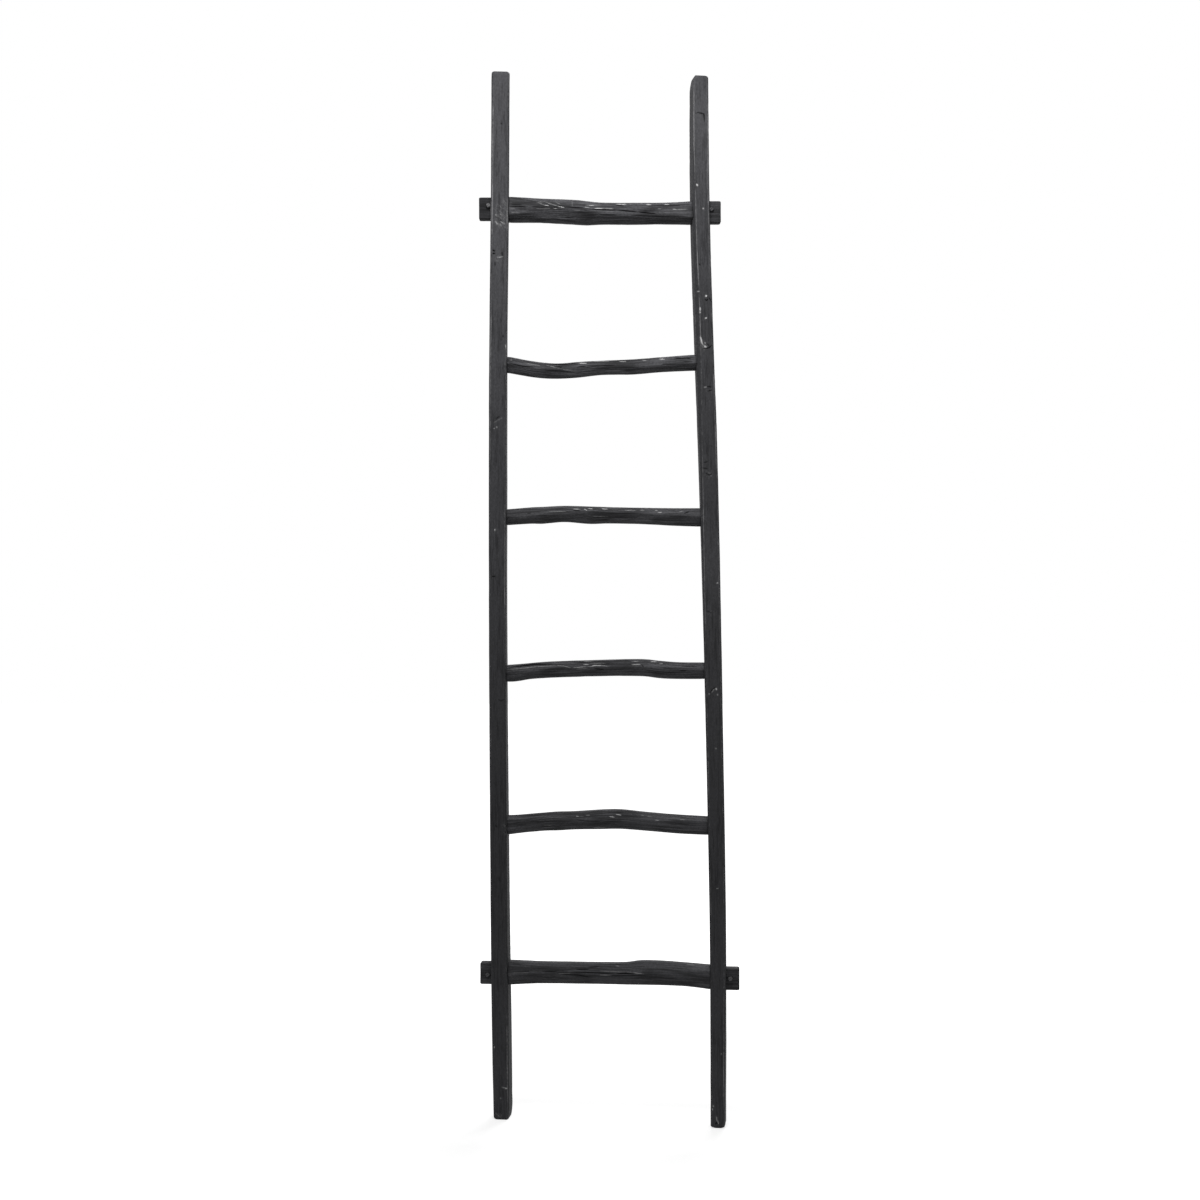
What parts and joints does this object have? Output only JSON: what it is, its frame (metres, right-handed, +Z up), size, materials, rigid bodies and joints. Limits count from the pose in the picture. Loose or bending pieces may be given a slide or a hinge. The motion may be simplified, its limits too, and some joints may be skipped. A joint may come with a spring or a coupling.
{
  "type": "towel ladder",
  "caption": "Rustic dark-stained wooden ladder for hanging towels, with hewn rails and crooked branch rungs held by pegged tenons.",
  "frame": {"origin": "on the floor, midway between the two feet", "axes": "+Z up along the rails, +X to the right as seen from the front, +Y to the back"},
  "size_m": [0.4445, 0.0896, 1.7892],
  "materials": {
    "rail_wood": "near-black stain, matt, rubbed pale along the arrises",
    "branch_wood": "near-black stain over cracked, fibrous branch wood, matt",
    "peg_wood": "near-black stain, matt, with cut ends"
  },
  "bodies": {
    "root": {"left_rail": "rail_wood", "right_rail": "rail_wood", "top_rung": "branch_wood", "second_rung": "branch_wood", "third_rung": "branch_wood", "fourth_rung": "branch_wood", "fifth_rung": "branch_wood", "bottom_rung": "branch_wood", "top_left_peg": "peg_wood", "top_right_peg": "peg_wood", "bottom_left_peg": "peg_wood", "bottom_right_peg": "peg_wood"}
  },
  "joints": []
}
